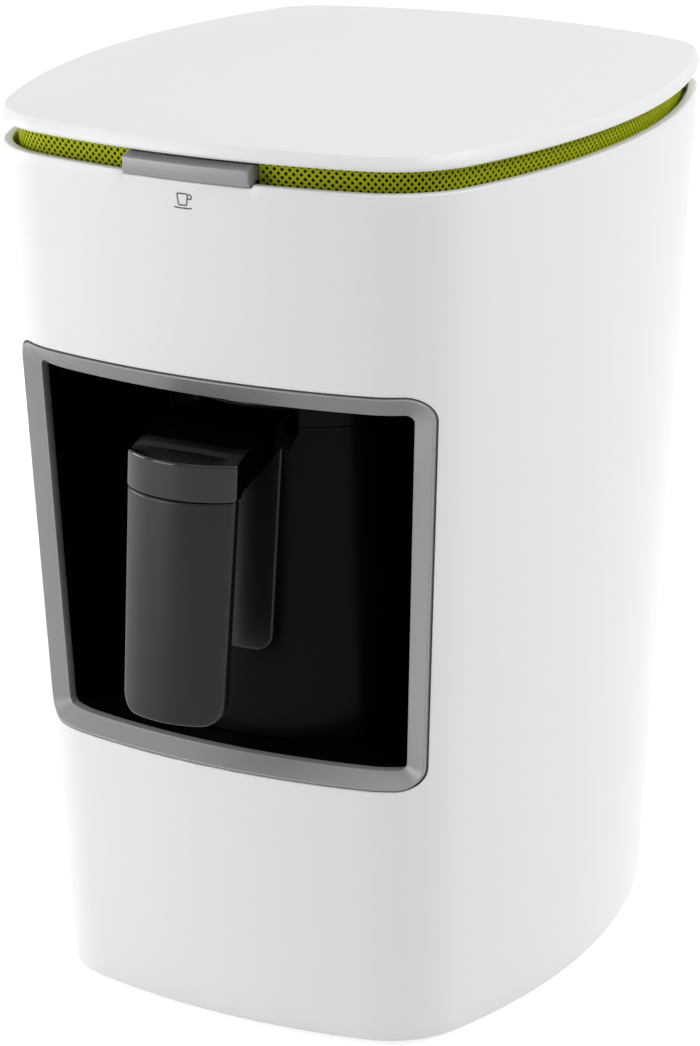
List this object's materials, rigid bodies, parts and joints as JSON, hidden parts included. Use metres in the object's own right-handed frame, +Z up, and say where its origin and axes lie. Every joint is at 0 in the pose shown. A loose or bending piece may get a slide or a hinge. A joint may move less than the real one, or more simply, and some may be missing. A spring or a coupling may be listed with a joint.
{
  "type": "electric turkish coffee maker",
  "caption": "Tapered white coffee maker with a framed niche, a draw-out pot with handle, a start button bar, a mesh vent band and a flat top cover.",
  "frame": {"origin": "middle of the object's overall box in plan, at the table: the undersides of the feet", "axes": "+Z up, -Y towards the user (the pot is drawn out along -Y), +X to the right as seen from the front"},
  "size_m": [0.1538, 0.1909, 0.2332],
  "materials": {
    "white_plastic": "semi-gloss white moulding",
    "silver_trim": "satin silver-grey paint",
    "lime_mesh": "satin lime green paint",
    "black_satin": "satin black moulding",
    "black_gloss": "polished black moulding",
    "black_matte": "matt black moulding",
    "dark_grey_plastic": "plain technical moulding",
    "pot_steel": "spun steel",
    "zinc": "zinc-plated screws",
    "spring_steel": "bare spring wire",
    "heater_alloy": "cast plate",
    "element_steel": "heat-tinted tube",
    "ceramic": "pale ceramic body",
    "contact_brass": "bare contact metal",
    "board_green": "solder-masked board",
    "rubber": "soft black rubber",
    "part_blue": "relay case",
    "part_navy": "capacitor sleeve",
    "choke_wire": "varnished winding",
    "lead_red": "insulated lead",
    "light_clear": "clear moulding",
    "lens_dark": "dark infrared window",
    "plunger_orange": "switch plunger"
  },
  "bodies": {
    "housing": {"outer_shell": "white_plastic", "top_cover": "white_plastic", "vent_band": "lime_mesh", "cover_carrier": "black_satin", "carrier_screws": "zinc", "base_plate": "black_matte", "rubber_feet": "rubber", "base_screws": "zinc", "window_frame": "silver_trim", "niche_liner": "black_satin", "liner_screws": "zinc", "cord_gland": "black_matte", "button_springs": "spring_steel", "push_switch": "dark_grey_plastic", "control_board": "board_green", "control_board_screws": "zinc", "status_light": "light_clear", "light_guide": "light_clear", "buzzer": "dark_grey_plastic", "sensor_housing": "black_satin", "sensor_lens": "lens_dark", "sensor_board": "board_green", "power_board": "board_green", "power_board_screws": "zinc", "relay": "part_blue", "smoothing_capacitor": "part_navy", "choke": "choke_wire", "fuse": "ceramic", "terminal_block": "ceramic", "internal_leads": "lead_red", "contact_block": "dark_grey_plastic", "block_screws": "zinc", "contact_blades": "contact_brass"},
    "pot": {"pot_jacket": "black_satin", "pot_vessel": "pot_steel", "handle_arm": "black_gloss", "handle_grip": "black_matte", "grip_screws": "zinc", "wall_plate": "black_matte", "plate_screws": "zinc", "pot_base_cover": "black_satin", "pot_base_screws": "zinc", "heater_plate": "heater_alloy", "heating_element": "element_steel", "temperature_sensor": "ceramic", "socket_housing": "dark_grey_plastic", "socket_clips": "contact_brass"},
    "button": {"start_button": "silver_trim"},
    "plunger": {"switch_plunger": "plunger_orange"}
  },
  "joints": [
    {"name": "pot_withdrawal", "type": "slide", "parent": "housing", "child": "pot", "axis": [0, -1, 0], "range_m": [0, 0.125]},
    {"name": "start_button_press", "type": "slide", "parent": "housing", "child": "button", "axis": [0, 1, 0], "range_m": [0, 0.0015], "stiffness_N_per_m": 500, "deforming": ["button_springs"]},
    {"name": "switch_plunger_press", "type": "slide", "parent": "housing", "child": "plunger", "axis": [0, 1, 0], "range_m": [0, 0.0015]}
  ],
  "couplings": [
    {"joint": "switch_plunger_press", "follows": "start_button_press", "ratio": 1}
  ]
}
